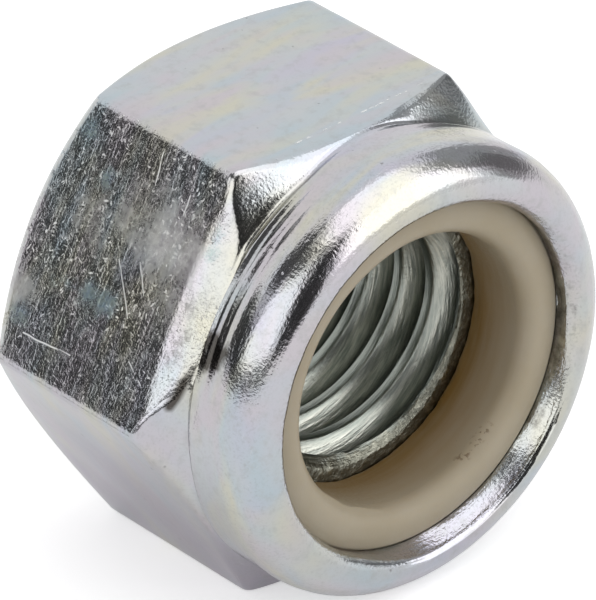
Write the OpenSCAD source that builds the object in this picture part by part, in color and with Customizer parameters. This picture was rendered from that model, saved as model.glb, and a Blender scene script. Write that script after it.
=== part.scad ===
// Hexagon lock nut with a nylon ring held under a rolled-in collar.
// The nut lies on one flat. The bore runs along Y, the bearing face is at Y = 0 and faces +Y,
// and the collar with the ring faces -Y.

/* [Hexagon] */
// Width across the flats, the spanner size
across_flats = 13; // [12:0.1:14.5]
// Radius of the rounded edges between the flats
edge_round = 0.35; // [0.15:0.05:0.6]
// Height above the bearing face at which the edges end at the collar
edge_top = 6.35; // [6.15:0.05:6.6]
// Diameter of the flat bearing ring
bearing_d = 12.35; // [11.8:0.05:12.5]
// Slope of the corner chamfer round the bearing ring, in degrees
bearing_slope = 34.5; // [20:0.5:40]
// Slope of the corner chamfer below the collar, in degrees
front_slope = 34; // [24:1:38]

/* [Collar] */
// Height of the whole nut
nut_h = 9.8; // [9.6:0.1:10.6]
// Diameter of the collar
collar_d = 12.96; // [12.6:0.02:13]
// Radius of the shoulder where the collar is rolled in
shoulder_r = 1.25; // [0.9:0.05:1.4]
// Radius of the hollow between the hexagon and the collar
neck_r = 0.3; // [0.2:0.05:0.4]
// Depth of that hollow in the collar's wall
neck_depth = 0.2; // [0.1:0.02:0.28]
// Thickness of the collar's wall round the ring
collar_wall = 0.93; // [0.8:0.01:1.05]
// How far the rolled lip reaches in over the ring
lip_reach = 0.55; // [0.45:0.01:0.65]
// Height of the lip's leaning inner wall, which holds the ring down
lip_wall_h = 0.9; // [0.8:0.05:1]
// Radius of the lip's inner edge
lip_round = 0.4; // [0.2:0.05:0.4]

/* [Thread] */
// Nominal diameter of the bolt's thread
thread_d = 8; // [7.5:0.25:8]
// Pitch of the thread
thread_pitch = 1.25; // [1:0.25:1.25]
// Diameter of the countersink at the bearing face
countersink_d = 8.6; // [8.2:0.1:9]
// Diameter of the countersink in the ring's seat
seat_mouth_d = 7.3; // [7:0.1:8.6]

/* [Nylon ring] */
// Diameter of the ring's bore, before a bolt forms its own thread there
ring_bore_d = 7.8; // [7.4:0.1:7.9]
// Height of the ring
ring_h = 2.3; // [2.1:0.05:2.4]
// Depth of the ring's highest part below the top of the collar
ring_drop = 0.6; // [0.5:0.05:0.8]
// How far the ring's face falls from there to the lip, where the rolled lip presses it down
ring_fall = 0.48; // [0.3:0.02:0.6]
// Radius of the ring's inner edge at the face
ring_round = 0.5; // [0.3:0.05:0.6]

/* [Fits] */
// Gap between the ring and the collar's wall and lip
ring_gap = 0.02; // [0.01:0.01:0.05]

/* [Hidden] */
$fn = 96;
eps = 0.5;
edge_chords = 5;
corner_r = across_flats / sqrt(3);
collar_r = collar_d / 2;
bearing_r = bearing_d / 2;
// Internal thread of 60 degrees: the crests stand 5/8 of the sharp thread's height inside the nominal size
crest_r = thread_d / 2 - 5 / 8 * thread_pitch * cos(30);
groove_r = collar_r - collar_wall;
lip_r = groove_r - lip_reach;
ring_top = nut_h - ring_drop;
seat_z = ring_top - ring_h;
ring_r = groove_r - ring_gap;
lip_edge_z = nut_h - lip_round;
lip_root_z = lip_edge_z - lip_wall_h;
ring_edge_z = ring_top - ring_fall;
ring_edge_r = ring_r - (ring_edge_z - lip_root_z) * lip_reach / lip_wall_h;
neck_floor_r = collar_r - neck_depth;
neck_z = edge_top + (corner_r - neck_floor_r) * tan(front_slope);

// Hexagon with two flats level and its corners rounded in short chords
module rounded_hexagon() {
    arc_centre = corner_r - edge_round / cos(30);
    polygon([
        for (i = [0:5], j = [0:edge_chords])
            let (a = 60 * i - 30 + 60 * j / edge_chords)
                arc_centre * [cos(60 * i), sin(60 * i)] + edge_round * [cos(a), sin(a)]
    ]);
}

// Turned form that cuts the corner chamfers at both ends of the hexagon
module chamfer_form() {
    rotate_extrude()
        polygon([
            [0, 0],
            [bearing_r, 0],
            [corner_r + eps, (corner_r + eps - bearing_r) * tan(bearing_slope)],
            [corner_r + eps, edge_top - eps * tan(front_slope)],
            [neck_floor_r - neck_r, neck_z + neck_r * tan(front_slope)],
            [0, neck_z + neck_r * tan(front_slope)]
        ]);
}

// Collar with its rolled shoulder, its rounded lip edge and the hollow at its root
module collar_form() {
    rotate_extrude()
        difference() {
            union() {
                translate([0, edge_top - eps])
                    square([collar_r, nut_h - shoulder_r - edge_top + eps]);
                translate([0, edge_top - eps])
                    square([collar_r - shoulder_r, nut_h - edge_top + eps]);
                translate([collar_r - shoulder_r, nut_h - shoulder_r])
                    circle(shoulder_r);
            }
            translate([lip_r - eps, lip_edge_z])
                difference() {
                    square([eps + lip_round, lip_round + eps]);
                    translate([eps + lip_round, 0])
                        circle(lip_round);
                }
            translate([neck_floor_r + neck_r, neck_z])
                circle(neck_r);
        }
}

// Everything that is open inside the steel: countersinks, thread bore, ring groove and lip opening
module bore_form() {
    countersink_r = countersink_d / 2;
    mouth_r = seat_mouth_d / 2;
    rotate_extrude()
        polygon([
            [0, -eps],
            [countersink_r + eps, -eps],
            [crest_r, countersink_r - crest_r],
            [crest_r, seat_z - mouth_r + crest_r],
            [mouth_r, seat_z],
            [groove_r, seat_z],
            [groove_r, lip_root_z],
            [lip_r, lip_edge_z],
            [lip_r, nut_h + eps],
            [0, nut_h + eps]
        ]);
}

// Lays the upright form on one flat, with the collar toward -Y
module lie_down() {
    rotate([90, 0, 0])
        children();
}

module nut_body() {
    color("silver")
        lie_down()
            difference() {
                union() {
                    intersection() {
                        linear_extrude(nut_h)
                            rounded_hexagon();
                        chamfer_form();
                    }
                    collar_form();
                }
                bore_form();
            }
}

module nylon_ring() {
    bore_r = ring_bore_d / 2;
    color("tan")
        lie_down()
            rotate_extrude()
                difference() {
                    polygon([
                        [bore_r, seat_z],
                        [ring_r, seat_z],
                        [ring_r, lip_root_z],
                        [ring_edge_r, ring_edge_z],
                        [bore_r + ring_round, ring_top],
                        [bore_r, ring_top]
                    ]);
                    translate([bore_r, ring_top - ring_round])
                        difference() {
                            translate([-eps, 0])
                                square([eps + ring_round, ring_round + eps]);
                            translate([ring_round, 0])
                                circle(ring_round);
                        }
                }
}

nut_body();
nylon_ring();
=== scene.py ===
import math

import bpy
import numpy as np
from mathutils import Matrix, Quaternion, Vector, noise


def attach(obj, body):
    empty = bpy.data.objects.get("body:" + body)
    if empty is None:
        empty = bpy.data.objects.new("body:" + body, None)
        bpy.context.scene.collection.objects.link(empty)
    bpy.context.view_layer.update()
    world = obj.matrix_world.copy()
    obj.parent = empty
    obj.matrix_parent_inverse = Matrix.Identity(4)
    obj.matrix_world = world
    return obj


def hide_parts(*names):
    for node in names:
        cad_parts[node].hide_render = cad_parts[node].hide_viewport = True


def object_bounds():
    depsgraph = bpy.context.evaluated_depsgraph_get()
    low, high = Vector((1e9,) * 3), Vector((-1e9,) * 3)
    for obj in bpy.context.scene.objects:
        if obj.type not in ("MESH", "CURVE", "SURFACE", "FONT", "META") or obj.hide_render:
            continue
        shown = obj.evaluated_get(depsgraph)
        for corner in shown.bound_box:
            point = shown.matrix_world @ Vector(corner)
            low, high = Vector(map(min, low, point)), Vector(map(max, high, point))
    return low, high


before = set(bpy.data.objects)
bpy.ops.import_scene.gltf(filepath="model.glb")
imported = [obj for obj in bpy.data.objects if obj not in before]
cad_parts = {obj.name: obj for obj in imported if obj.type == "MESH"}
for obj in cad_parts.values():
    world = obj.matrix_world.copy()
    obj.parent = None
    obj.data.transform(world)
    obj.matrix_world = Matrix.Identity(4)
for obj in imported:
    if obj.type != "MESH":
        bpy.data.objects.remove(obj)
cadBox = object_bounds()
mm = 0.001  # the sizes below are in millimetres, the scene is in metres
print("frame loaded", sorted(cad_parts))


# small helpers

def onlyPick(piece):
    if bpy.context.object and bpy.context.object.mode != "OBJECT":
        bpy.ops.object.mode_set(mode="OBJECT")
    bpy.ops.object.select_all(action="DESELECT")
    piece.select_set(True)
    bpy.context.view_layer.objects.active = piece


def addTube(name, around, rings):
    # open cylinder, one unit high, with its upright edges cut into rings
    bpy.ops.object.select_all(action="DESELECT")
    bpy.ops.mesh.primitive_cylinder_add(vertices=around, radius=1, depth=1, end_fill_type="NOTHING")
    tube = bpy.context.object
    tube.name = tube.data.name = name
    bpy.ops.object.mode_set(mode="EDIT")
    bpy.ops.mesh.select_mode(type="EDGE")
    bpy.ops.mesh.select_all(action="DESELECT")
    bpy.ops.object.mode_set(mode="OBJECT")
    points = tube.data.vertices
    for edge in tube.data.edges:
        a, b = (points[i].co for i in edge.vertices)
        edge.select = abs(a.z - b.z) > 0.5
    bpy.ops.object.mode_set(mode="EDIT")
    bpy.ops.mesh.subdivide(number_cuts=rings - 2)
    bpy.ops.object.mode_set(mode="OBJECT")
    flat = np.empty(len(points) * 3)
    tube.data.vertices.foreach_get("co", flat)
    co = flat.reshape(-1, 3)
    ringOf = np.rint((co[:, 2] + 0.5) * (rings - 1)).astype(int)
    columnOf = np.rint(np.arctan2(co[:, 1], co[:, 0]) / (2 * math.pi) * around).astype(int) % around
    return tube, ringOf, columnOf


def shapeTube(tube, places):
    tube.data.vertices.foreach_set("co", (places * mm).ravel())
    tube.data.update()
    tube.rotation_euler = (math.radians(90), 0, 0)  # lays the upright form down, collar toward -Y
    onlyPick(tube)
    bpy.ops.object.transform_apply(location=False, rotation=True, scale=False)


def closeTube(tube):
    onlyPick(tube)
    bpy.ops.object.mode_set(mode="EDIT")
    bpy.ops.mesh.select_mode(type="EDGE")
    bpy.ops.mesh.select_all(action="DESELECT")
    bpy.ops.mesh.select_non_manifold()
    bpy.ops.mesh.bridge_edge_loops()
    bpy.ops.mesh.select_all(action="SELECT")
    bpy.ops.mesh.normals_make_consistent(inside=False)
    bpy.ops.object.mode_set(mode="OBJECT")


def openEdges(mesh):
    keys = np.array([key for face in mesh.polygons for key in face.edge_keys])
    return int((np.unique(keys, axis=0, return_counts=True)[1] != 2).sum())


def bend(a, corner, b, steps):
    # soft corner from a to b, as (r, u) pairs
    out = []
    for t in np.linspace(0, 1, steps):
        out.append(tuple((1 - t) ** 2 * p + 2 * t * (1 - t) * q + t * t * s for p, q, s in zip(a, corner, b)))
    return out


def arc(centre, radius, start, stop, steps):
    return [(centre[0] + radius * math.cos(math.radians(g)), centre[1] + radius * math.sin(math.radians(g)))
            for g in np.linspace(start, stop, steps)]


def roll(x, y, z, size, seed):
    return noise.noise(Vector((x / size + seed, y / size, z / size)))


# steel body: hexagon, collar, rolled lip, groove and thread

body = {
    "acrossFlats": 13.0,
    "edgeRound": 0.35,
    "edgeTop": 6.35,
    "bearingRadius": 6.175,
    "bearingRows": (4.8, 5.3, 5.8),
    "bearingSlope": 34.5,
    "frontSlope": 34.0,
    "backSoft": 0.1,         # softness of the edge that the back chamfer leaves
    "frontSoft": 0.16,       # the same in front, at a corner
    # by the direction of each flat: softness in its middle, collar's root there, how far its front is beaten down,
    # and how far the forged ridges above it stand out
    "frontMid": {30: 0.6, 90: 0.45, 150: 0.8, 210: 0.5, 270: 0.6, 330: 0.7},
    "neckMid": {30: 6.3, 90: 6.44, 150: 6.02, 210: 6.36, 270: 6.34, 330: 6.22},
    "bevel": {30: 0.4, 90: 0.0, 150: 1.0, 210: 0.0, 270: 0.3, 330: 0.6},
    "ridge": {30: 0.3, 90: 0.1, 150: 1.0, 210: 0.0, 270: 0.3, 330: 0.4},
    "height": 9.8,
    "collarRadius": 6.48,
    "shoulder": 1.25,
    "neck": 6.28,            # root of the collar at a corner
    "neckLimit": 7.2,        # highest level of that root
    "wallTop": 8.42,         # upper end of the collar's straight wall
    "folds": [(0.34, 0.15, 0.08), (0.7, 0.15, 0.065)],  # folds of the forging up the collar's wall: place, width, depth
    "lipRadius": 5.0,
    "lipRound": 0.4,
    "lipUnder": 9.02,        # lower end of the lip's inner edge
    "lipSharp": (18, 32),    # where that edge is turned over sharply: middle and half reach, in degrees
    "lipWorn": (-62, 38),    # where it is burnished to a slope
    "lipWear": (0.13, 5.95, 0.69),  # how deep the shoulder is worn there, from which radius, over what reach
    "lipRoot": 8.5,
    "grooveRadius": 5.55,
    "seat": 6.9,
    "seatMiddle": 4.8,
    "seatMouth": 3.65,
    "countersink": 4.3,
    "threadRadius": 4.0,
    "threadPitch": 1.25,
    "threadTurn": -0.22,     # where the thread starts, as a share of a turn
    "flatSteps": 28,
    "cornerSteps": 8,
    "flatRows": 30,
}
# half a pitch of the thread's form, crest to root
threadForm = [(0, 0), (0.12, 0.003), (0.2, 0.015), (0.26, 0.045), (0.32, 0.11), (0.4, 0.225), (0.5, 0.385),
              (0.6, 0.545), (0.7, 0.705), (0.78, 0.83), (0.84, 0.915), (0.9, 0.97), (1, 1)]


def hexOutline(b):
    cornerRadius = b["acrossFlats"] / math.sqrt(3)
    centre = cornerRadius - b["edgeRound"] / math.cos(math.radians(30))
    outline = []
    for i in range(6):
        middle = np.array([math.cos(math.radians(60 * i)), math.sin(math.radians(60 * i))]) * centre
        for g in np.linspace(60 * i - 30, 60 * i + 30, b["cornerSteps"] + 1):
            outline.append(middle + b["edgeRound"] * np.array([math.cos(math.radians(g)), math.sin(math.radians(g))]))
        after = np.array([math.cos(math.radians(60 * i + 60)), math.sin(math.radians(60 * i + 60))]) * centre
        g = math.radians(60 * i + 30)
        start, stop = outline[-1], after + b["edgeRound"] * np.array([math.cos(g), math.sin(g)])
        for t in np.linspace(0, 1, b["flatSteps"] + 1)[1:-1]:
            outline.append(start + (stop - start) * t)
    return np.array(outline), cornerRadius


def threadWall(b, angle, u):
    # radius of the bore at any angle and height: thread, and the cones at its ends
    crest = b["threadRadius"] - 0.625 * b["threadPitch"] * math.cos(math.radians(30))
    phase = (u / b["threadPitch"] - angle / (2 * math.pi) + b["threadTurn"]) % 1.0
    away = np.abs(phase - 0.5) * 2
    wall = crest + (b["threadRadius"] + 0.04 - crest) * np.interp(away, *zip(*threadForm))
    return np.maximum(wall, np.maximum(b["seatMouth"] - (b["seat"] - u), b["countersink"] - u))


def bodySection(b):
    outline, cornerRadius = hexOutline(b)
    angle = np.unwrap(np.arctan2(outline[:, 1], outline[:, 0]))
    hexRadius = np.hypot(outline[:, 0], outline[:, 1])
    one = np.ones_like(hexRadius)
    half = b["acrossFlats"] / 2
    corner = np.clip((hexRadius - half) / (cornerRadius - half), 0, 1)   # 0 mid flat, 1 at a corner
    backTan = math.tan(math.radians(b["bearingSlope"]))
    frontTan = math.tan(math.radians(b["frontSlope"]))
    backCone = lambda r: (r - b["bearingRadius"]) * backTan
    frontCone = lambda r: b["edgeTop"] + (cornerRadius - r) * frontTan
    rows, zone = [], []

    def add(pairs, name):
        for r, u in pairs:
            rows.append((r * one, u * one))
            zone.append(name)

    bearing = b["bearingRadius"]
    add(bend((b["countersink"] - 0.05, 0.05), (b["countersink"], 0), (b["countersink"] + 0.08, 0), 3), "bearing")
    add([(r, 0) for r in b["bearingRows"]], "bearing")
    add(bend((bearing - 0.14, 0), (bearing, 0), (bearing + 0.1, backCone(bearing + 0.1)), 4), "bearing")
    soft = b["backSoft"]
    inner = bearing + 0.1
    for t in (0.25, 0.5, 0.75):
        r = inner + (hexRadius - soft - inner) * t
        add([(r, backCone(r))], "chamfer")
    low, high = backCone(hexRadius), frontCone(hexRadius)
    add(bend((hexRadius - soft, backCone(hexRadius - soft)), (hexRadius, low), (hexRadius, low + soft), 5), "chamfer")
    flatOf = (np.degrees(angle) % 360 // 60 * 60 + 30).astype(int)
    mid = lambda key: np.array([b[key][g] for g in flatOf])
    neck = mid("neckMid") + (b["neck"] - mid("neckMid")) * np.clip(corner / 0.35, 0, 1)
    front = mid("frontMid") + (b["frontSoft"] - mid("frontMid")) * np.clip(corner / 0.75, 0, 1)
    inside = np.maximum(hexRadius - front * 0.8, neck + 0.3 * (hexRadius - neck))
    beaten = mid("bevel") * (1 - np.clip(corner / 0.6, 0, 1))
    blend = lambda a, c: a + (c - a) * beaten
    for t in np.linspace(0, 1, b["flatRows"] + 1)[1:-1]:
        add([(hexRadius, low + soft + (high - front - low - soft) * t)], "flat")
    floor = np.minimum(frontCone(neck), b["neckLimit"])
    start = (hexRadius, high - front)
    bendAt = (blend(hexRadius, hexRadius - 0.19), blend(high, high - 0.4))
    stop = (blend(inside, neck + 0.07), blend(np.minimum(frontCone(inside), floor - 0.05), floor - 0.1))
    add(bend(start, bendAt, stop, 11), "front")
    for t in (0.25, 0.5, 0.75):
        add([(stop[0] + (neck + 0.05 - stop[0]) * t, stop[1] + (floor - 0.04 - stop[1]) * t)], "front")
    add(bend((neck + 0.05, floor - 0.04), (neck, floor), (neck + 0.004, floor + 0.08), 4), "neck")
    broad = b["collarRadius"] - 0.005
    strong = mid("ridge")
    for k in range(2):                    # evened out between neighbouring flats
        strong = sum(np.roll(strong, s) for s in range(-5, 6)) / 11
    strong = np.roll(strong, -10)         # the folds lie toward the upper end of each flat
    for t in np.linspace(0.02, 0.98, 30):
        rise = min(1.0, t / 0.2)
        dips = sum(deep * math.exp(-((t - at) / wide) ** 2) for at, wide, deep in b["folds"]) + 0.03 * (1 - t)
        r = neck + 0.004 + (broad - neck - 0.004) * rise * rise * (3 - 2 * rise) - strong * dips * rise
        add([(r, floor + 0.08 + (b["wallTop"] - floor - 0.08) * t)], "neck")
    lip = b["lipRadius"]

    def share(middle, reach):
        away = np.abs((np.degrees(angle) - middle + 180) % 360 - 180)
        t = np.clip(1.6 - away / reach, 0, 1)
        return t * t * (3 - 2 * t)

    bySharp, byWorn = share(*b["lipSharp"]), share(*b["lipWorn"])
    bySharp = bySharp * (1 - byWorn)
    turn = b["height"] - b["shoulder"]
    wear, wearFrom, wearReach = b["lipWear"]
    add([(broad, turn - 0.08)], "collar")
    for r, u in arc((b["collarRadius"] - b["shoulder"], turn), b["shoulder"], 0, 80, 20):
        add([(r, u - byWorn * wear * (max(0.0, wearFrom - r) / wearReach) ** 1.5)], "collar")
    edge = b["height"] - b["lipRound"]
    under = b["lipUnder"]
    full = arc((lip + b["lipRound"], edge), b["lipRound"], 92, 180, 12)
    full += [(lip + 0.012, edge - 0.1), (lip + 0.03, edge - 0.2), (lip + 0.05, edge - 0.3)]
    sharp = bend((lip + 0.42, edge + 0.39), (lip + 0.17, edge + 0.26), (lip + 0.04, edge + 0.04), 9)
    sharp += [(lip + 0.025, edge), (lip + 0.02, edge - 0.04)]
    sharp += [(lip + 0.02 + 0.03 * t, edge - 0.08 - 0.23 * t) for t in np.linspace(0, 1, 4)]
    worn = bend((lip + 0.43, edge + 0.285), (lip + 0.375, edge + 0.26), (lip + 0.33, edge + 0.21), 5)
    worn += bend((lip + 0.325, edge + 0.2), (lip + 0.315, edge + 0.18), (lip + 0.3, edge + 0.135), 4)
    worn += [(lip + 0.29 - 0.245 * t, edge + 0.11 - 0.42 * t) for t in np.linspace(0, 1, 6)]
    for shapes in zip(full, sharp, worn):
        add([tuple(p + (q - p) * bySharp + (s - p) * byWorn for p, q, s in zip(*shapes))], "lip")
    add(bend((lip + 0.055, under + 0.03), (lip + 0.07, under), (lip + 0.13, under - 0.05), 3), "lipWall")
    reach = b["grooveRadius"] - lip - 0.13
    add([(lip + 0.13 + reach * t, under - 0.05 + (b["lipRoot"] - under + 0.05) * t)
         for t in (0.35, 0.7, 1.0)], "lipWall")
    groove, seat, middle = b["grooveRadius"], b["seat"], b["seatMiddle"]
    add([(groove, b["lipRoot"] - 0.3), (groove, seat + 0.1), (groove, seat), (middle, seat)], "groove")
    mouth = threadWall(b, angle, seat - 0.02)   # where the thread runs out into the seat
    add([(middle + (mouth + 0.06 - middle) * t, seat) for t in (0.45, 0.8, 1.0)], "groove")
    add([(mouth, seat - 0.02)], "groove")
    return angle, rows, zone


def roughenBody(angle, rows, zone):
    # forged unevenness, worked inward only, and the uneven inner edge of the lip
    radius = np.array([r for r, u in rows])
    height = np.array([u for r, u in rows])
    x, y = radius * np.cos(angle), radius * np.sin(angle)
    for j, name in enumerate(zone):
        for i in range(len(angle)):
            p = (x[j, i], y[j, i], height[j, i])
            if name in ("flat", "chamfer", "front"):
                radius[j, i] -= 0.008 * (1 + roll(*p, 2.6, 3.1)) + 0.002 * (1 + roll(*p, 0.7, 8.4))
            elif name in ("collar", "neck"):
                radius[j, i] -= 0.006 * (1 + roll(*p, 1.6, 1.7)) + 0.002 * (1 + roll(*p, 0.5, 5.2))
            elif name == "lip":
                inward = (body["collarRadius"] - radius[j, i]) / (body["collarRadius"] - body["lipRadius"])
                radius[j, i] += 0.018 * inward ** 3 * (1 + roll(*p, 0.8, 2.9) + 0.7 * roll(*p, 0.3, 6.1))
                height[j, i] -= 0.012 * (1 + roll(*p, 0.6, 4.4))
    return radius, height


def addThread(name, b, angle):
    # a sheet of rows that climb with the thread, cut level at both ends by clamping and merging
    turn = np.append(angle, angle[0] + 2 * math.pi)
    half = [t for t, f in threadForm]
    steps = sorted({round(0.5 + s * t / 2, 4) % 1.0 for t in half for s in (-1, 1)})
    low, high, pitch = 0.05, b["seat"] - 0.02, b["threadPitch"]
    levels = [pitch * (k + s) for k in range(-3, int(high / pitch) + 3) for s in steps]
    levels = [u for u in levels if low - 2.2 * pitch < u < high + 1.2 * pitch]
    bpy.ops.object.select_all(action="DESELECT")
    bpy.ops.mesh.primitive_grid_add(x_subdivisions=len(angle), y_subdivisions=len(levels) - 1, size=1)
    sheet = bpy.context.object
    sheet.name = sheet.data.name = name
    flat = np.empty(len(sheet.data.vertices) * 3)
    sheet.data.vertices.foreach_get("co", flat)
    co = flat.reshape(-1, 3)
    column = np.rint((co[:, 0] + 0.5) * len(angle)).astype(int)
    row = np.rint((co[:, 1] + 0.5) * (len(levels) - 1)).astype(int)
    around = turn[column]
    u = np.array(levels)[row] + pitch * (around / (2 * math.pi) - b["threadTurn"])
    u = np.clip(u, low, high)
    around = np.where(column == len(angle), angle[0], around)
    r = threadWall(b, around, u)
    shapeTube(sheet, np.stack([r * np.cos(around), r * np.sin(around), u], 1))
    return sheet


angle, rows, zone = bodySection(body)
radius, height = roughenBody(angle, rows, zone)
nut, ringOf, columnOf = addTube("plated_nut", len(angle), len(rows))
turnOf = angle[columnOf]
shapeTube(nut, np.stack([radius[ringOf, columnOf] * np.cos(turnOf), radius[ringOf, columnOf] * np.sin(turnOf),
                         height[ringOf, columnOf]], 1))
thread = addThread("bore_thread", body, angle)
bpy.ops.object.select_all(action="DESELECT")
thread.select_set(True)
nut.select_set(True)
bpy.context.view_layer.objects.active = nut
bpy.ops.object.join()
bpy.ops.object.mode_set(mode="EDIT")
bpy.ops.mesh.select_all(action="SELECT")
bpy.ops.mesh.remove_doubles(threshold=2e-7)
bpy.ops.mesh.normals_make_consistent(inside=False)
bpy.ops.object.mode_set(mode="OBJECT")
onlyPick(nut)
bpy.ops.object.shade_smooth_by_angle(angle=math.radians(50))
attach(nut, "root")
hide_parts("nut_body")
print("steel body", len(nut.data.polygons), "faces,", openEdges(nut.data), "open edges")


# what the finish of the steel follows, painted onto its points

flatGrit = {30: 0.5, 90: 0.06, 150: 0.8, 210: 0.08, 270: 0.4, 330: 0.65}
# patches: place, size, strength
dullSpots = [
    (-4.96, -5.01, 4.37, 1.0, 1.0), (-5.01, -5.85, 4.31, 0.8, 0.9), (-5.0, -3.5, 4.3, 0.9, 0.45),
    (-5.14, -2.39, 4.06, 0.8, 0.4), (-5.54, -5.64, 3.38, 0.8, 0.45), (-5.64, -6.54, 3.21, 0.6, 0.3),
    (-5.25, -6.71, 3.88, 0.5, 0.6), (-6.54, -0.81, 1.64, 0.5, 0.9),
]
blueSpots = [
    (-6.1, -3.84, 2.41, 0.5, 1.0), (-6.08, -3.2, 2.44, 0.42, 0.9), (-6.12, -2.5, 2.36, 0.3, 0.8),
    (-6.15, -1.9, 2.3, 0.25, 0.7), (-4.63, -2.36, 4.95, 0.45, 0.8), (-4.85, -6.65, 4.6, 0.32, 0.6),
    (-4.6, -6.6, 5.0, 0.3, 0.6), (-4.17, -1.12, 5.75, 0.5, 0.7), (-6.76, -1.1, 1.25, 0.45, 0.8),
]
# painted shade: dark spots in the collar's root and in the crevice below it
collarShadeSpots = [
    (-5.72, -7.69, 2.83, 0.34, 1.0), (-5.92, -7.42, 2.37, 0.34, 1.0), (-5.88, -7.86, 2.64, 0.4, 1.0),
    (-5.97, -8.03, 2.46, 0.32, 1.0), (-5.83, -8.2, 2.78, 0.3, 0.9), (-5.96, -7.66, 2.29, 0.3, 1.0),
    (-5.64, -6.54, 3.21, 0.6, 0.38), (-5.97, -6.62, 2.64, 0.6, 0.4), (-6.2, -6.6, 2.0, 0.5, 0.38),
]
rosySpots = [
    (-5.8, -3.2, -3.2, 2.2, 1.0), (-4.6, -5.0, -5.0, 2.4, 1.0), (-4.6, -1.6, -4.9, 2.0, 1.0),
]

chamfers = {"corner": 7.506, "frontRise": 0.6745, "backRise": 0.687}  # rises are per millimetre of radius


def frontLevel(r):
    return body["edgeTop"] + (chamfers["corner"] - r) * chamfers["frontRise"]


def backLevel(r):
    return (r - body["bearingRadius"]) * chamfers["backRise"]


def gritAt(x, y, z):
    r, u, degrees = math.hypot(x, z), -y, math.degrees(math.atan2(z, x)) % 360
    if r < 4.6:                                # bore and seat
        return 0.3
    if u > 9.62 or (u > 9.0 and r < 5.35):     # top of the lip, and its inner edge
        return 0.2 if r > 5.35 else 0.58
    if u > 8.4:                                # shoulder
        return 0.4
    if u > 7.2:                                # wall of the collar
        return 0.28
    if u > frontLevel(r) - 0.1:                # front chamfer
        return 0.3
    if u < backLevel(r) + 0.06:                # bearing face and back chamfer
        return 0.3
    ofFlat = flatGrit[int(degrees // 60) * 60 + 30]
    below = body["acrossFlats"] / 2 / math.cos(math.radians(degrees % 60 - 30)) - r
    if u > 4 and below > 0.09:                 # beaten front of a flat
        low = min(1.0, max(0.0, (4.1 - z) / 0.8))  # rougher toward the lower end
        return min(ofFlat, 0.38 + 0.42 * low)
    return ofFlat


def spotsAt(x, y, z, spots):
    return max(strong * math.exp(-((x - a) ** 2 + (y - b) ** 2 + (z - c) ** 2) / size ** 2)
               for a, b, c, size, strong in spots)


def shadeAndSpecksAt(x, y, z):
    # painted shade in the collar's root, and dark specks along the lip's inner edge, denser low down on one side
    r, u, degrees = math.hypot(x, z), -y, (math.degrees(math.atan2(z, x)) + 180) % 360 - 180
    inner = 0.0
    if u > 9.0 and r < 5.22:
        inner = 0.3 if -20 < degrees < 80 else 0.14
        if u < 9.42 and -40 < degrees < 45:
            inner = 0.46
    return max(inner, spotsAt(x, y, z, collarShadeSpots))


def backEdgeHighlightAt(x, y, z):
    # painted highlight: a thin bright edge round the back of the grittiest flat
    r, u, degrees = math.hypot(x, z), -y, math.degrees(math.atan2(z, x)) % 360
    return 1.0 if 120 < degrees < 180 and r > 6.3 and abs(u - backLevel(r)) < 0.13 else 0.0


def boreAt(x, y, z):
    return 1.0 if math.hypot(x, z) < 4.5 and 0.06 < -y < 6.95 else 0.0


def ledgeAt(x, y, z):
    # end of the thread and the seat of the ring, darkened with grime and painted shade
    return min(1.0, max(0.0, (-y - 6.6) / 0.25)) if math.hypot(x, z) < 4.9 and -y < 6.95 else 0.0


def rootAt(x, y, z):
    # 0 at the thread's crest, 1 at its root
    return min(1.0, max(0.0, (math.hypot(x, z) - 3.33) / 0.7)) if 0.95 < -y < 6.6 else 0.0


places = [tuple(c / mm for c in v.co) for v in nut.data.vertices]
finishRules = {
    "grit": gritAt,
    "bore": boreAt,
    "ledge": ledgeAt,
    "root": rootAt,
    "dull": lambda *p: spotsAt(*p, dullSpots),
    "blued": lambda *p: spotsAt(*p, blueSpots),
    "rosy": lambda *p: spotsAt(*p, rosySpots),
    # painted shade in the collar's root, with dark specks along the lip's inner edge
    "shadeAndSpecks": shadeAndSpecksAt,
    # worn holds a painted highlight along the back edge of the grittiest flat
    "worn": backEdgeHighlightAt,
}
for name, rule in finishRules.items():
    nut.data.attributes.new(name, "FLOAT", "POINT").data.foreach_set("value", [rule(*p) for p in places])
print("finish painted")


# nylon ring

ring = {
    "bore": 3.9,
    "foot": 4.0,             # bore at the seat
    "outer": 5.53,
    "seat": 6.9,
    "lipRoot": 8.5,
    "seatMiddle": 4.7,
    "face": (4.88, 9.12),    # end of its level face, and how it falls from there to the lip
    "fall": ((4.95, 9.09), (5.03, 9.06)),
    "edge": (5.09, 8.97),    # where its face meets the lip
    "top": 9.2,
    "round": 0.5,
    "curl": (212, 256, 8.93, 0.05),  # thin curl left by the forming tool: from and to, in degrees, level, height
    "around": 180,
}


def ringSection(g):
    low = g["seat"]
    rows = bend((g["foot"] + 0.12, low), (g["foot"] + 0.01, low), (g["foot"], low + 0.1), 5)
    for u in np.linspace(low + 0.2, g["top"] - g["round"] - 0.05, 14):
        flare = (1 - (u - low) / (g["top"] - g["round"] - low)) ** 1.5
        rows.append((g["bore"] + (g["foot"] - g["bore"]) * flare, u))
    rows += arc((g["bore"] + g["round"], g["top"] - g["round"]), g["round"], 180, 100, 14)
    crown = (g["bore"] + g["round"] + 0.25, g["top"])
    rows += bend((g["bore"] + g["round"], g["top"]), crown, g["face"], 6)
    rows += bend(*g["fall"], g["edge"], 5)
    outer = g["outer"]
    rows += [(outer, g["lipRoot"]), (outer, g["lipRoot"] - 0.4), (outer, low + 0.2), (outer, low + 0.03),
             (outer - 0.06, low), (g["seatMiddle"], low)]
    return rows


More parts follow.
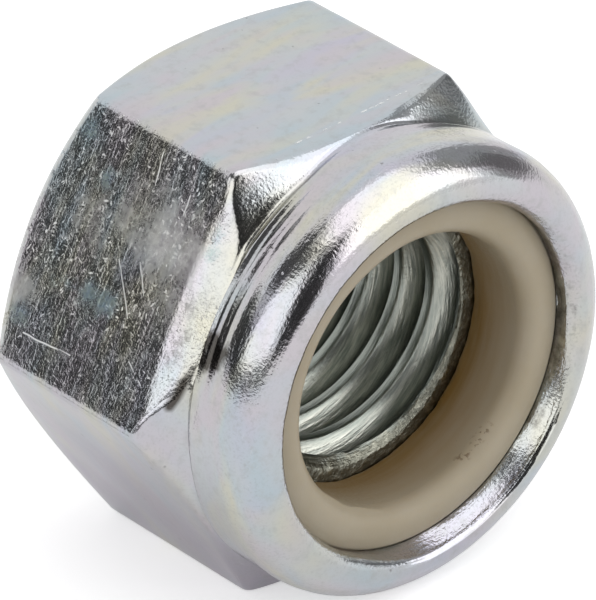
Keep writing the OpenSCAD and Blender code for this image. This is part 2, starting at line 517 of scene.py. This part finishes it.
section = np.array(ringSection(ring))
nylon, ringOf, columnOf = addTube("nylon_locking_ring", ring["around"], len(section))
turnOf = columnOf * 2 * math.pi / ring["around"]
r, u = section[ringOf, 0].copy(), section[ringOf, 1].copy()
curlFrom, curlTo, curlLevel, curlTall = ring["curl"]
for k in range(len(r)):
    if r[k] < 4.9:
        p = (r[k] * math.cos(turnOf[k]), r[k] * math.sin(turnOf[k]), u[k])
        r[k] += 0.02 * roll(*p, 1.3, 7.7)
        u[k] -= 0.012 * (1 + roll(*p, 1.0, 2.2)) if u[k] > ring["top"] - 0.5 else 0
        degrees = math.degrees(turnOf[k]) % 360
        ends = min(1.0, max(0.0, min(degrees - curlFrom, curlTo - degrees) / 8))
        r[k] -= curlTall * ends * math.exp(-((u[k] - curlLevel - 0.05 * roll(*p, 0.7, 3.3)) / 0.055) ** 2)
        if u[k] < ring["seat"] + 0.25 and r[k] < 4.3:  # uneven foot where the ring meets the thread
            r[k] += 0.035 * max(-0.8, roll(*p, 0.5, 5.5) + 0.6 * roll(*p, 0.18, 9.1))
shapeTube(nylon, np.stack([r * np.cos(turnOf), r * np.sin(turnOf), u], 1))
closeTube(nylon)
deep = [min(1.0, max(0.0, (9.1 + v.co.y / mm) / 1.9)) if math.hypot(v.co.x, v.co.z) / mm < 4.6 else 0.0
        for v in nylon.data.vertices]
nylon.data.attributes.new("deep", "FLOAT", "POINT").data.foreach_set("value", deep)
onlyPick(nylon)
bpy.ops.object.shade_smooth_by_angle(angle=math.radians(50))
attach(nylon, "root")
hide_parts("nylon_ring")
print("nylon ring", len(nylon.data.polygons), "faces")


# materials

def newGroup(name, ins, outs):
    tree = bpy.data.node_groups.new(name, "ShaderNodeTree")
    for label, kind, value in ins:
        socket = tree.interface.new_socket(label, in_out="INPUT", socket_type=kind)
        if value is not None:
            socket.default_value = value
    for label, kind in outs:
        tree.interface.new_socket(label, in_out="OUTPUT", socket_type=kind)
    return tree, tree.nodes.new("NodeGroupInput"), tree.nodes.new("NodeGroupOutput")


def put(tree, kind, ins=None, **settings):
    node = tree.nodes.new(kind)
    for key, value in settings.items():
        setattr(node, key, value)
    for key, value in (ins or {}).items():
        if isinstance(value, bpy.types.NodeSocket):
            tree.links.new(value, node.inputs[key])
        else:
            node.inputs[key].default_value = value
    return node


def maths(tree, operation, a, b=0.5, clamp=False):
    return put(tree, "ShaderNodeMath", {0: a, 1: b}, operation=operation, use_clamp=clamp).outputs[0]


def vectors(tree, operation, a, b):
    return put(tree, "ShaderNodeVectorMath", {0: a, 1: b}, operation=operation)


def ramp(tree, value, low, high, start=0.0, stop=1.0):
    node = put(tree, "ShaderNodeMapRange",
               {"Value": value, "From Min": low, "From Max": high, "To Min": start, "To Max": stop})
    return node.outputs["Result"]


def mixColour(tree, factor, a, b, blend="MIX"):
    node = put(tree, "ShaderNodeMix", data_type="RGBA", blend_type=blend)
    for index, value in ((0, factor), (6, a), (7, b)):
        if isinstance(value, bpy.types.NodeSocket):
            tree.links.new(value, node.inputs[index])
        else:
            node.inputs[index].default_value = value
    return node.outputs[2]


def strokes(tree, place, turn, stretch, seed):
    # place turned about the gritty flat's normal and then stretched, for marks that lie at an angle
    tilt = Quaternion(grittyNormal, math.radians(turn)).to_euler()
    turned = put(tree, "ShaderNodeMapping", {"Vector": place, "Rotation": tilt})
    laid = put(tree, "ShaderNodeMapping",
               {"Vector": turned.outputs[0], "Scale": stretch, "Location": (seed, seed, seed)})
    return laid.outputs[0]


grittyNormal = (-0.866, 0, 0.5)
placeInput = ("Place", "NodeSocketVector", None)

# fine crystalline grain of the plating
grainGroup, grainIn, grainOut = newGroup("plateGrain", [placeInput, ("Grit", "NodeSocketFloat", 0.5)],
                                         [("Height", "NodeSocketFloat"), ("Fleck", "NodeSocketFloat")])
fine = put(grainGroup, "ShaderNodeTexNoise",
           {"Vector": grainIn.outputs["Place"], "Scale": 12.0, "Detail": 2.0, "Roughness": 0.6})
cells = put(grainGroup, "ShaderNodeTexVoronoi", {"Vector": grainIn.outputs["Place"], "Scale": 10.0}, feature="F1")
waves = put(grainGroup, "ShaderNodeTexNoise", {"Vector": grainIn.outputs["Place"], "Scale": 1.1, "Detail": 2.0})
mixed = maths(grainGroup, "ADD", fine.outputs["Fac"],
              maths(grainGroup, "MULTIPLY", cells.outputs["Distance"], 0.35))
scaled = maths(grainGroup, "MULTIPLY", mixed, grainIn.outputs["Grit"])
tall = maths(grainGroup, "ADD", scaled, maths(grainGroup, "MULTIPLY", waves.outputs["Fac"], 0.4))
grainGroup.links.new(tall, grainOut.inputs["Height"])
fleck = ramp(grainGroup, fine.outputs["Fac"], 0.52, 0.66)
grainGroup.links.new(maths(grainGroup, "MULTIPLY", fleck, grainIn.outputs["Grit"]), grainOut.inputs["Fleck"])

# thin tints of the passivated plating, drawn out across the bore axis
tintGroup, tintIn, tintOut = newGroup("plateTint", [placeInput], [("Colour", "NodeSocketColor")])
plainZinc = (0.52, 0.545, 0.56, 1)
tints = [((0.52, 0.5, 0.59, 1), 0.5, 1.3), ((0.455, 0.535, 0.58, 1), 0.55, 7.9), ((0.585, 0.565, 0.46, 1), 0.6, 15.2),
         ((0.55, 0.51, 0.55, 1), 0.7, 21.7)]
colour = plainZinc
for shade, size, seed in tints:
    spot = put(tintGroup, "ShaderNodeMapping",
               {"Vector": tintIn.outputs["Place"], "Location": (seed, seed * 0.7, seed * 0.4),
                "Rotation": (0.0, 0.0, 0.25), "Scale": (0.45, 1.3, 0.45)})
    cloud = put(tintGroup, "ShaderNodeTexNoise",
                {"Vector": spot.outputs[0], "Scale": size, "Detail": 2.5, "Distortion": 0.5})
    colour = mixColour(tintGroup, ramp(tintGroup, cloud.outputs["Fac"], 0.47, 0.66, 0.0, 0.85), colour, shade)
tintGroup.links.new(colour, tintOut.inputs["Colour"])

# short rub marks at many angles, most of them across the bore axis, in loose patches
rubGroup, rubIn, rubOut = newGroup("rubMarks", [placeInput, ("Amount", "NodeSocketFloat", 0.5)],
                                   [("Mask", "NodeSocketFloat")])
rubLayers = [(6, (2.0, 15.0, 2.0), 0.0), (-24, (2.8, 17.0, 2.8), 4.0), (38, (3.2, 14.0, 3.2), 9.0),
             (-70, (3.0, 15.0, 3.0), 14.0)]  # turn, stretch, seed
masks = None
for turn, stretch, seed in rubLayers:
    laid = strokes(rubGroup, rubIn.outputs["Place"], turn, stretch, seed)
    streak = put(rubGroup, "ShaderNodeTexNoise", {"Vector": laid, "Scale": 1.0, "Detail": 2.0, "Roughness": 0.6})
    mask = ramp(rubGroup, streak.outputs["Fac"], 0.7, 0.78)
    masks = mask if masks is None else maths(rubGroup, "MAXIMUM", masks, mask)
patch = put(rubGroup, "ShaderNodeTexNoise", {"Vector": rubIn.outputs["Place"], "Scale": 0.9, "Detail": 3.0})
masks = maths(rubGroup, "MULTIPLY", masks, ramp(rubGroup, patch.outputs["Fac"], 0.38, 0.62, 0.15, 1.0))
rubGroup.links.new(maths(rubGroup, "MULTIPLY", masks, rubIn.outputs["Amount"]), rubOut.inputs["Mask"])

# small bright nicks at many angles
glintGroup, nickIn, nickOut = newGroup("brightNicks", [placeInput, ("Amount", "NodeSocketFloat", 0.5)],
                                       [("Mask", "NodeSocketFloat")])
nickLayers = [(20, (4.0, 14.0, 4.0), 2.0), (-40, (5.5, 15.0, 5.5), 6.0), (78, (5.0, 13.0, 5.0), 11.0)]
masks = None
warp = put(glintGroup, "ShaderNodeTexNoise", {"Vector": nickIn.outputs["Place"], "Scale": 5.0, "Detail": 2.0})
warp = put(glintGroup, "ShaderNodeVectorMath", {0: warp.outputs["Color"], "Scale": 0.22}, operation="SCALE")
warped = put(glintGroup, "ShaderNodeVectorMath", {0: nickIn.outputs["Place"], 1: warp.outputs[0]}, operation="ADD")
for turn, stretch, seed in nickLayers:
    laid = strokes(glintGroup, warped.outputs[0], turn, stretch, seed)
    nicks = put(glintGroup, "ShaderNodeTexVoronoi", {"Vector": laid, "Scale": 1.0}, feature="F1")
    chance = put(glintGroup, "ShaderNodeSeparateColor", {"Color": nicks.outputs["Color"]}).outputs["Red"]
    mask = maths(glintGroup, "MULTIPLY", ramp(glintGroup, nicks.outputs["Distance"], 0.36, 0.1),
                 ramp(glintGroup, chance, 0.74, 1.0))
    masks = mask if masks is None else maths(glintGroup, "MAXIMUM", masks, mask)
patch = put(glintGroup, "ShaderNodeTexNoise", {"Vector": nickIn.outputs["Place"], "Scale": 1.4, "Detail": 3.0})
masks = maths(glintGroup, "MULTIPLY", masks, ramp(glintGroup, patch.outputs["Fac"], 0.42, 0.62, 0.15, 1.0))
glintGroup.links.new(maths(glintGroup, "MULTIPLY", masks, nickIn.outputs["Amount"]), nickOut.inputs["Mask"])

# one long scratch between two points
scratchGroup, scratchIn, scratchOut = newGroup(
    "longScratch",
    [placeInput, ("Start", "NodeSocketVector", (0, 0, 0)), ("End", "NodeSocketVector", (0, 0, 1)),
     ("Width", "NodeSocketFloat", 0.04)],
    [("Mask", "NodeSocketFloat")])
along = vectors(scratchGroup, "SUBTRACT", scratchIn.outputs["End"], scratchIn.outputs["Start"]).outputs[0]
fromStart = vectors(scratchGroup, "SUBTRACT", scratchIn.outputs["Place"], scratchIn.outputs["Start"]).outputs[0]
share = maths(scratchGroup, "DIVIDE", vectors(scratchGroup, "DOT_PRODUCT", fromStart, along).outputs["Value"],
              vectors(scratchGroup, "DOT_PRODUCT", along, along).outputs["Value"], clamp=True)
reached = put(scratchGroup, "ShaderNodeVectorMath", {0: along, "Scale": share}, operation="SCALE").outputs[0]
gap = vectors(scratchGroup, "DISTANCE", fromStart, reached).outputs["Value"]
scratchGroup.links.new(ramp(scratchGroup, maths(scratchGroup, "DIVIDE", gap, scratchIn.outputs["Width"]), 1.0, 0.3),
                       scratchOut.inputs["Mask"])


def lineMask(tree, place, ends, width):
    start, end = ends
    return put(tree, "ShaderNodeGroup", {"Place": place, "Start": start, "End": end, "Width": width},
               node_tree=scratchGroup).outputs["Mask"]


def newMaterial(name):
    material = bpy.data.materials.new(name)
    material.use_nodes = True
    tree = material.node_tree
    place = put(tree, "ShaderNodeTexCoord")
    scale = put(tree, "ShaderNodeMapping", {"Vector": place.outputs["Object"], "Scale": (1000, 1000, 1000)})
    return material, tree, tree.nodes["Principled BSDF"], scale.outputs[0]


zinc = {
    "roughness": (0.11, 0.05),   # plain, and what grit adds
    "dullRoughness": 0.5,
    "fleck": (0.16, 0.16, 0.155, 1),
    "teal": ((0.23, 0.37, 0.52, 1), (0.34, 0.47, 0.46, 1)),
    "dull": (0.64, 0.645, 0.62, 1),
    "pit": (0.12, 0.11, 0.1, 1),
    # near-black of the painted shade in the collar's root and of the specks along the lip's inner edge
    "shadeAndSpecks": (0.05, 0.042, 0.034, 1),
    # colour of scratches and dents, and of the painted highlight on the back edge
    "scratchAndEdgeHighlight": (0.85, 0.86, 0.85, 1),
    "nick": (0.95, 0.95, 0.93, 1),
    "rosy": (0.345, 0.298, 0.37, 1),
    "mottle": (0.40, 0.405, 0.40, 1),
    "boreColour": (0.64, 0.65, 0.58, 1),
    "boreDark": (0.27, 0.30, 0.275, 1),
    # painted shade with dirt in the thread's roots
    "rootShadeAndDirt": (0.085, 0.1, 0.088, 1),
    # grime and painted shade on the thread's end and the ring's seat
    "ledgeDark": (0.2, 0.2, 0.165, 1),
    "ledgeSpot": (0.42, 0.42, 0.35, 1),
    "boreRoughness": 0.16,       # what the cut thread adds
    "dots": ((-1.6, -6.35, 6.49), (2.9, -6.32, 6.49)),  # row of small bright dents along the upper flat's front
    "dotWidth": 0.04,
    "creviceShade": ((-6.6, -6.9, 0.85), (-6.03, -7.2, 1.85)),  # painted shade: a dark line at the end of the beaten flat
    "creviceShadeWidth": 0.2,
    "grain": 0.000016,           # height of the grain, in metres
    "scratches": [((-5.49, -3.74, 3.45), (-6.11, -4.73, 2.39)), ((-3.91, -3.86, 6.21), (-4.41, -3.98, 5.32)),
                  ((-7.0, -1.48, 0.85), (-6.95, -3.31, 0.94)), ((-5.39, -4.47, 3.64), (-5.77, -5.05, 2.97)),
                  ((-6.62, -5.33, 1.51), (-6.8, -6.01, 1.19)), ((-4.28, -5.26, 5.55), (-4.55, -5.28, 5.08))],
    "scratchWidth": 0.024,
}


def zincPlate():
    material, tree, shader, place = newMaterial("zinc_plate")
    painted = {name: put(tree, "ShaderNodeAttribute", attribute_name=name).outputs["Fac"]
               for name in ("grit", "dull", "blued", "bore", "ledge", "root", "rosy", "shadeAndSpecks", "worn")}
    gritty, dull, blued, bore, ledge, root, rosy, shadeAndSpecks, worn = painted.values()
    grain = put(tree, "ShaderNodeGroup", node_tree=grainGroup)
    tint = put(tree, "ShaderNodeGroup", node_tree=tintGroup)
    rub = put(tree, "ShaderNodeGroup", node_tree=rubGroup)
    nick = put(tree, "ShaderNodeGroup", node_tree=glintGroup)
    level = put(tree, "ShaderNodeSeparateXYZ", {0: place}).outputs["Z"]
    nicked = maths(tree, "MULTIPLY", ramp(tree, gritty, 0.55, 0.8), ramp(tree, level, 1.0, 3.2, 0.4, 1.0))
    tree.links.new(nicked, nick.inputs["Amount"])
    for node in (grain, tint, rub, nick):
        tree.links.new(place, node.inputs["Place"])
    edges = put(tree, "ShaderNodeTexNoise", {"Vector": place, "Scale": 2.2, "Detail": 8.0, "Roughness": 0.78})
    uneven = maths(tree, "MULTIPLY", maths(tree, "SUBTRACT", edges.outputs["Fac"], 0.5), 2.4)
    dullEdge = ramp(tree, maths(tree, "ADD", dull, uneven), 0.05, 1.0)
    dullMask = maths(tree, "MULTIPLY", dullEdge, ramp(tree, gritty, 0.5, 0.75))
    blueMask = ramp(tree, maths(tree, "ADD", blued, maths(tree, "MULTIPLY", uneven, 0.7)), 0.25, 0.75)
    calm = maths(tree, "SUBTRACT", 1.0, maths(tree, "MULTIPLY", dullMask, 0.45))
    tree.links.new(maths(tree, "MULTIPLY", gritty, calm), grain.inputs["Grit"])
    tree.links.new(ramp(tree, gritty, 0.2, 1.0, 0.05, 1.0), rub.inputs["Amount"])
    scratches = rub.outputs["Mask"]
    shake = put(tree, "ShaderNodeTexNoise", {"Vector": place, "Scale": 1.5, "Detail": 1.0})
    shaken = put(tree, "ShaderNodeVectorMath", {0: shake.outputs["Color"], "Scale": 0.12}, operation="SCALE").outputs[0]
    wavering = vectors(tree, "ADD", place, vectors(tree, "SUBTRACT", shaken, (0.06, 0.06, 0.06)).outputs[0]).outputs[0]
    for ends in zinc["scratches"]:
        scratches = maths(tree, "MAXIMUM", scratches, lineMask(tree, wavering, ends, zinc["scratchWidth"]))
    row = lineMask(tree, place, zinc["dots"], zinc["dotWidth"])
    beads = put(tree, "ShaderNodeTexNoise", {"Vector": place, "Scale": 5.0, "Detail": 2.0})
    dents = maths(tree, "MULTIPLY", row, ramp(tree, beads.outputs["Fac"], 0.52, 0.6))
    scratches = maths(tree, "MAXIMUM", scratches, dents)
    # painted highlight: a thin bright edge round the back of the grittiest flat, mixed in with the scratches
    backEdgeHighlight = maths(tree, "MULTIPLY", ramp(tree, worn, 0.78, 0.95), ramp(tree, edges.outputs["Fac"], 0.42, 0.5, 0.3, 1.0))
    scratches = maths(tree, "MAXIMUM", scratches, backEdgeHighlight)
    dark = mixColour(tree, maths(tree, "MULTIPLY", grain.outputs["Fleck"], 0.35), tint.outputs["Colour"], zinc["fleck"])
    teal = mixColour(tree, ramp(tree, edges.outputs["Fac"], 0.42, 0.58), *zinc["teal"])
    blue = mixColour(tree, maths(tree, "MULTIPLY", blueMask, 0.75), dark, teal)
    dulled = mixColour(tree, maths(tree, "MULTIPLY", dullMask, 0.8), blue, zinc["dull"])
    dulled = mixColour(tree, maths(tree, "MULTIPLY", rosy, 0.8), dulled, zinc["rosy"])
    mottle = put(tree, "ShaderNodeTexNoise", {"Vector": place, "Scale": 2.6, "Detail": 6.0, "Roughness": 0.7})
    dulled = mixColour(tree, ramp(tree, mottle.outputs["Fac"], 0.5, 0.72, 0.0, 0.5), dulled, zinc["mottle"])
    drawn = put(tree, "ShaderNodeMapping", {"Vector": place, "Scale": (1.1, 22.0, 1.1)})  # tool lines along the thread
    lines = put(tree, "ShaderNodeTexNoise", {"Vector": drawn.outputs[0], "Scale": 1.0, "Detail": 3.0, "Roughness": 0.6})
    cut = mixColour(tree, ramp(tree, lines.outputs["Fac"], 0.36, 0.6, 0.2, 1.0), zinc["boreDark"], zinc["boreColour"])
    cut = mixColour(tree, ramp(tree, root, 0.26, 0.06, 0.0, 0.75), cut, zinc["boreDark"])
    # painted shade with dirt, darkening the thread toward its roots
    cut = mixColour(tree, ramp(tree, root, 0.66, 0.96, 0.0, 0.9), cut, zinc["rootShadeAndDirt"])
    # grime and painted shade where the thread ends against the ring's seat
    ledgeMottle = put(tree, "ShaderNodeTexNoise", {"Vector": place, "Scale": 3.2, "Detail": 4.0, "Roughness": 0.65})
    ledgeShadeAndGrime = mixColour(tree, ramp(tree, ledgeMottle.outputs["Fac"], 0.5, 0.68), zinc["ledgeDark"], zinc["ledgeSpot"])
    ledgeShadeAndGrimeMask = ramp(tree, maths(tree, "ADD", ledge, maths(tree, "SUBTRACT", ledgeMottle.outputs["Fac"], 0.5)), 0.25, 0.75)
    cut = mixColour(tree, ledgeShadeAndGrimeMask, cut, ledgeShadeAndGrime)
    dulled = mixColour(tree, bore, dulled, cut)
    pits = put(tree, "ShaderNodeTexVoronoi", {"Vector": place, "Scale": 1.7}, feature="F1")
    pitSize = put(tree, "ShaderNodeTexNoise", {"Vector": place, "Scale": 0.8, "Detail": 1.0})
    pitEdge = maths(tree, "ADD", pits.outputs["Distance"], ramp(tree, pitSize.outputs["Fac"], 0.4, 0.6, 0.09, 0.0))
    pitMask = ramp(tree, pitEdge, 0.1, 0.04)
    pitMask = maths(tree, "MULTIPLY", pitMask, ramp(tree, bore, 0.0, 1.0, 0.7, 0.0))
    dulled = mixColour(tree, maths(tree, "MULTIPLY", pitMask, 0.7), dulled, zinc["pit"])
    # painted shade in the collar's root and along the crevice, with dark specks along the lip's inner edge
    shadeAndSpecksMask = ramp(tree, maths(tree, "ADD", shadeAndSpecks, maths(tree, "MULTIPLY", uneven, 0.5)), 0.3, 0.7, 0.0, 0.9)
    # painted shade along the crevice at the end of the beaten flat
    creviceShade = lineMask(tree, wavering, zinc["creviceShade"], zinc["creviceShadeWidth"])
    shadeAndSpecksMask = maths(tree, "MAXIMUM", shadeAndSpecksMask, maths(tree, "MULTIPLY", creviceShade, 0.92))
    dulled = mixColour(tree, shadeAndSpecksMask, dulled, zinc["shadeAndSpecks"])
    # scratches, rub marks and dents, with the painted highlight on the back edge, brightened
    bright = mixColour(tree, maths(tree, "MULTIPLY", scratches, 0.8), dulled, zinc["scratchAndEdgeHighlight"])
    bright = mixColour(tree, nick.outputs["Mask"], bright, zinc["nick"])
    tree.links.new(bright, shader.inputs["Base Color"])
    shader.inputs["Metallic"].default_value = 1.0
    low, more = zinc["roughness"]
    rough = maths(tree, "ADD", low, maths(tree, "MULTIPLY", gritty, more))
    matte = maths(tree, "MAXIMUM", dullMask, maths(tree, "MULTIPLY", blueMask, 0.4))
    rough = maths(tree, "ADD", rough, maths(tree, "MULTIPLY", matte, zinc["dullRoughness"] - low))
    marked = maths(tree, "MAXIMUM", scratches, nick.outputs["Mask"])
    rough = maths(tree, "ADD", rough, maths(tree, "MULTIPLY", marked, 0.3))
    rough = maths(tree, "ADD", rough, maths(tree, "MULTIPLY", bore, zinc["boreRoughness"]))
    tree.links.new(rough, shader.inputs["Roughness"])
    tall = maths(tree, "ADD", grain.outputs["Height"], maths(tree, "MULTIPLY", scratches, -0.5))
    tall = maths(tree, "SUBTRACT", tall, pitMask)
    tall = maths(tree, "ADD", tall, maths(tree, "MULTIPLY", nick.outputs["Mask"], 1.2))
    tall = maths(tree, "ADD", tall, maths(tree, "MULTIPLY", maths(tree, "MULTIPLY", ledgeMottle.outputs["Fac"], ledge), 4.0))
    tall = maths(tree, "ADD", tall, maths(tree, "MULTIPLY", maths(tree, "MULTIPLY", lines.outputs["Fac"], bore), 0.9))
    # marks of the rolling round the collar
    rolled = put(tree, "ShaderNodeMapping", {"Vector": place, "Scale": (0.55, 4.5, 0.55)})
    marks = put(tree, "ShaderNodeTexNoise",
                {"Vector": rolled.outputs[0], "Scale": 1.0, "Detail": 4.0, "Roughness": 0.6})
    tall = maths(tree, "ADD", tall, maths(tree, "MULTIPLY", maths(tree, "MULTIPLY", marks.outputs["Fac"], gritty), 2.0))
    bump = put(tree, "ShaderNodeBump", {"Strength": 1.0, "Distance": zinc["grain"], "Height": tall})
    tree.links.new(bump.outputs[0], shader.inputs["Normal"])
    return material


nylonFinish = {
    "face": (0.37, 0.322, 0.242, 1),
    "cloud": (0.345, 0.295, 0.21, 1),
    "deep": (0.21, 0.118, 0.028, 1),      # browner inside the bore, where light has come far through the nylon
    "speck": (0.14, 0.09, 0.05, 1),
    "speckLine": ((1.7, -8.85, -3.55), (2.66, -8.87, -2.9)),  # where the specks lie
    "speckReach": 0.22,
}


def naturalNylon():
    material, tree, shader, place = newMaterial("natural_nylon")
    deep = put(tree, "ShaderNodeAttribute", attribute_name="deep").outputs["Fac"]
    cloud = put(tree, "ShaderNodeTexNoise", {"Vector": place, "Scale": 0.6, "Detail": 3.0})
    colour = mixColour(tree, ramp(tree, cloud.outputs["Fac"], 0.35, 0.7), nylonFinish["face"], nylonFinish["cloud"])
    streak = put(tree, "ShaderNodeMapping", {"Vector": place, "Scale": (0.5, 4.0, 0.5)})
    streaks = put(tree, "ShaderNodeTexNoise", {"Vector": streak.outputs[0], "Scale": 1.0, "Detail": 2.0})
    depth = maths(tree, "MULTIPLY", deep, ramp(tree, streaks.outputs["Fac"], 0.3, 0.7, 0.75, 1.0))
    colour = mixColour(tree, depth, colour, nylonFinish["deep"])
    near = lineMask(tree, place, nylonFinish["speckLine"], nylonFinish["speckReach"])
    speck = put(tree, "ShaderNodeTexNoise", {"Vector": place, "Scale": 7.0, "Detail": 2.0})
    some = maths(tree, "MULTIPLY", ramp(tree, speck.outputs["Fac"], 0.54, 0.62), near)
    few = ramp(tree, speck.outputs["Fac"], 0.78, 0.82, 0.0, 0.6)
    mark = maths(tree, "MULTIPLY", maths(tree, "MAXIMUM", some, few), 0.75)
    tree.links.new(mixColour(tree, mark, colour, nylonFinish["speck"]), shader.inputs["Base Color"])
    fine = put(tree, "ShaderNodeTexNoise", {"Vector": place, "Scale": 14.0, "Detail": 2.0})
    tree.links.new(ramp(tree, fine.outputs["Fac"], 0.3, 0.7, 0.36, 0.5), shader.inputs["Roughness"])
    tall = maths(tree, "ADD", fine.outputs["Fac"], maths(tree, "MULTIPLY", streaks.outputs["Fac"], 1.5))
    bump = put(tree, "ShaderNodeBump", {"Strength": 0.3, "Distance": 0.00001, "Height": tall})
    tree.links.new(bump.outputs[0], shader.inputs["Normal"])
    shader.inputs["Specular IOR Level"].default_value = 0.25
    shader.inputs["Subsurface Weight"].default_value = 0.2
    shader.inputs["Subsurface Radius"].default_value = (1.0, 0.7, 0.4)
    shader.inputs["Subsurface Scale"].default_value = 0.0004
    return material


nut.data.materials.clear()
nut.data.materials.append(zincPlate())
nylon.data.materials.clear()
nylon.data.materials.append(naturalNylon())
print("materials set")


# camera, floor and light

camera = {"place": (-0.117398, -0.141857, 0.111534), "turn": (58.3576, 1.3331, -41.3234), "lens": 480.0}
cameraData = bpy.data.cameras.new("camera")
cameraData.lens = camera["lens"]
cameraData.sensor_width = 36
cameraData.sensor_fit = "AUTO"
cameraData.clip_start = 0.005
cameraObject = bpy.data.objects.new("camera", cameraData)
cameraObject.location = camera["place"]
cameraObject.rotation_euler = [math.radians(g) for g in camera["turn"]]
bpy.context.scene.collection.objects.link(cameraObject)
bpy.context.scene.camera = cameraObject

studio = {"worldDiffuse": 0.75, "floor": 0.85, "floorGlow": 0.45, "floorMirrored": 0.16}
shades = {  # cards that only the plated steel mirrors: azimuth from +Y to +X, elevation, distance, shade
    "card_horizon_front": ((-182, -96), (-4, 7), 0.60, 0.05),
    "card_horizon_left": ((-96, -42), (-4, 8), 0.62, 0.05),
    "card_left_back": ((-74, -34), (3, 28), 0.64, 0.05),
    "card_left": ((-90, -60), (28, 46), 0.70, 0.7),
    "card_left_high": ((-142, -98), (51, 79), 0.66, 0.12),
    "card_left_upper": ((-98, -46), (40, 79), 0.66, 0.1),
    "card_camera": ((-181, -149), (-3, 55), 0.58, 0.03),
    "card_right": ((66, 122), (-4, 48), 0.72, 0.5),
    "card_right_low": ((84, 114), (3, 25), 0.68, 0.22),
}
lamps = {  # azimuth, elevation, distance, width, height, power
    "softbox_key": (157, 70, 0.5, 0.50, 0.42, 0.50),
    "softbox_left": (-110, 29, 0.5, 0.50, 0.33, 0.30),
    "softbox_right": (150, 27, 0.5, 0.42, 0.36, 0.5),
}


def toward(azimuth, elevation):
    a, e = math.radians(azimuth), math.radians(elevation)
    return Vector((math.sin(a) * math.cos(e), math.cos(a) * math.cos(e), math.sin(e)))


def seenDirectly(tree):
    path = put(tree, "ShaderNodeLightPath")
    seen = maths(tree, "MAXIMUM", path.outputs["Is Camera Ray"], path.outputs["Is Glossy Ray"])
    return maths(tree, "MAXIMUM", seen, path.outputs["Is Transmission Ray"])


world = bpy.data.worlds.new("studio")
bpy.context.scene.world = world
world.use_nodes = True
tree = world.node_tree
background = tree.nodes["Background"]
background.inputs["Color"].default_value = (1, 1, 1, 1)
tree.links.new(ramp(tree, seenDirectly(tree), 0, 1, studio["worldDiffuse"], 1.0), background.inputs["Strength"])


def cardMaterial(name, shade):
    material = bpy.data.materials.new(name)
    material.use_nodes = True
    shader = material.node_tree.nodes["Principled BSDF"]
    shader.inputs["Base Color"].default_value = (shade, shade, shade, 1)
    shader.inputs["Roughness"].default_value = 1.0
    return material


bpy.ops.object.select_all(action="DESELECT")
bpy.ops.mesh.primitive_plane_add(size=4, location=(0, 0, cadBox[0][2]))
floor = bpy.context.object
floor.name = "studio_floor"
floor.data.materials.append(cardMaterial("studio_floor", studio["floor"]))
tree = floor.data.materials[0].node_tree
shader = tree.nodes["Principled BSDF"]
shader.inputs["Emission Color"].default_value = (1, 1, 1, 1)
path = put(tree, "ShaderNodeLightPath")
glow = maths(tree, "MULTIPLY", path.outputs["Is Camera Ray"], studio["floorGlow"])
mirrored = maths(tree, "MAXIMUM", path.outputs["Is Glossy Ray"], path.outputs["Is Transmission Ray"])
glow = maths(tree, "MAXIMUM", glow, maths(tree, "MULTIPLY", mirrored, studio["floorMirrored"]))
tree.links.new(glow, shader.inputs["Emission Strength"])

for name, (azimuths, elevations, away, shade) in shades.items():
    bpy.ops.object.select_all(action="DESELECT")
    bpy.ops.mesh.primitive_grid_add(x_subdivisions=16, y_subdivisions=8, size=1)
    piece = bpy.context.object
    piece.name = piece.data.name = name
    for v in piece.data.vertices:
        azimuth = azimuths[0] + (azimuths[1] - azimuths[0]) * (v.co.x + 0.5)
        elevation = elevations[0] + (elevations[1] - elevations[0]) * (v.co.y + 0.5)
        v.co = toward(azimuth, elevation) * away
    piece.data.materials.append(cardMaterial(name, shade))
    piece.visible_camera = piece.visible_diffuse = piece.visible_shadow = False

for name, (azimuth, elevation, away, wide, tall, power) in lamps.items():
    lamp = bpy.data.lights.new(name, "AREA")
    lamp.shape = "RECTANGLE"
    lamp.size, lamp.size_y, lamp.energy = wide, tall, power
    lampObject = bpy.data.objects.new(name, lamp)
    lampObject.location = toward(azimuth, elevation) * away
    lampObject.rotation_euler = toward(azimuth, elevation).to_track_quat("Z", "Y").to_euler()
    bpy.context.scene.collection.objects.link(lampObject)

bpy.context.scene.view_settings.view_transform = "Standard"
print("studio set")
